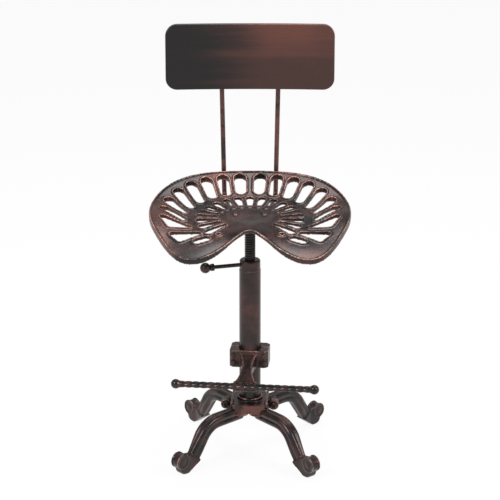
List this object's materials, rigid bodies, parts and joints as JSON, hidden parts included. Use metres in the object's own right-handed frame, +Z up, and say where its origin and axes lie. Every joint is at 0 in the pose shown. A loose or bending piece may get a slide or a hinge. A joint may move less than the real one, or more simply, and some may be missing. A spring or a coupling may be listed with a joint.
{
  "type": "tractor seat stool",
  "caption": "Screw-adjustable stool with a pierced dished tractor seat, bent-rod back rest, clamped foot rest bar and a four-legged base with scroll feet.",
  "frame": {"origin": "on the floor, under the middle of the whole stool's plan; the column stands there", "axes": "+Z up along the column, the sitter faces -Y, +X to the sitter's left"},
  "size_m": [0.4106, 0.3729, 0.8771],
  "materials": {
    "cast_copper": "antique copper paint",
    "painted_steel": "antique copper paint",
    "dark_steel": "oiled black",
    "fastener_steel": "dark zinc",
    "nylon": "natural",
    "brass": "plain"
  },
  "bodies": {
    "base": {"base_front_casting": "cast_copper", "base_rear_casting": "cast_copper", "base_bolts": "fastener_steel", "base_washers": "fastener_steel", "base_nuts": "fastener_steel", "column_socket": "cast_copper", "hub_tie_plate": "fastener_steel", "centre_washer": "fastener_steel", "centre_bolt": "fastener_steel", "tube_plug": "fastener_steel", "column_tube": "painted_steel", "collar_nut": "painted_steel"},
    "footrest": {"footrest_bracket": "cast_copper", "footrest_clamp": "cast_copper", "footrest_bar": "painted_steel", "footrest_balls": "painted_steel", "footrest_bolts": "fastener_steel", "footrest_nuts": "fastener_steel"},
    "spindle_guide": {"guide_bush": "nylon"},
    "seat": {"seat_pan": "cast_copper", "seat_bolts": "fastener_steel", "seat_washers": "fastener_steel", "seat_nuts": "fastener_steel", "back_bracket": "painted_steel", "spindle_flange": "painted_steel", "back_rod_left": "painted_steel", "back_rod_right": "painted_steel", "back_panel_bosses": "painted_steel", "back_panel_screws": "fastener_steel", "backrest_panel": "painted_steel", "spindle": "dark_steel", "spindle_end_washer": "fastener_steel", "spindle_end_screw": "fastener_steel"},
    "lock_pad": {"lock_pad": "brass"},
    "lock_lever": {"lock_rod": "dark_steel", "lock_knob": "dark_steel"}
  },
  "joints": [
    {"name": "footrest_slide", "type": "slide", "parent": "base", "child": "footrest", "axis": [0, 0, 1], "range_m": [-0.045, 0.15]},
    {"name": "seat_rise", "type": "slide", "parent": "base", "child": "spindle_guide", "axis": [0, 0, 1], "range_m": [-0.0651, 0.0801]},
    {"name": "seat_turn", "type": "hinge", "parent": "spindle_guide", "child": "seat", "pos_m": [0, 0, 0.264], "axis": [0, 0, 1], "range_deg": [-4680, 5760]},
    {"name": "lock_advance", "type": "slide", "parent": "base", "child": "lock_pad", "axis": [-0.9613, -0.2756, 0], "range_m": [0, 0.0025]},
    {"name": "lock_turn", "type": "hinge", "parent": "lock_pad", "child": "lock_lever", "pos_m": [0, 0, 0.411], "axis": [-0.9613, -0.2756, 0], "range_deg": [0, 720.5]}
  ],
  "couplings": [
    {"joint": "seat_rise", "follows": "seat_turn", "m_per_rad": 0.00079577},
    {"joint": "lock_turn", "follows": "lock_advance", "rad_per_m": 5026.5}
  ]
}
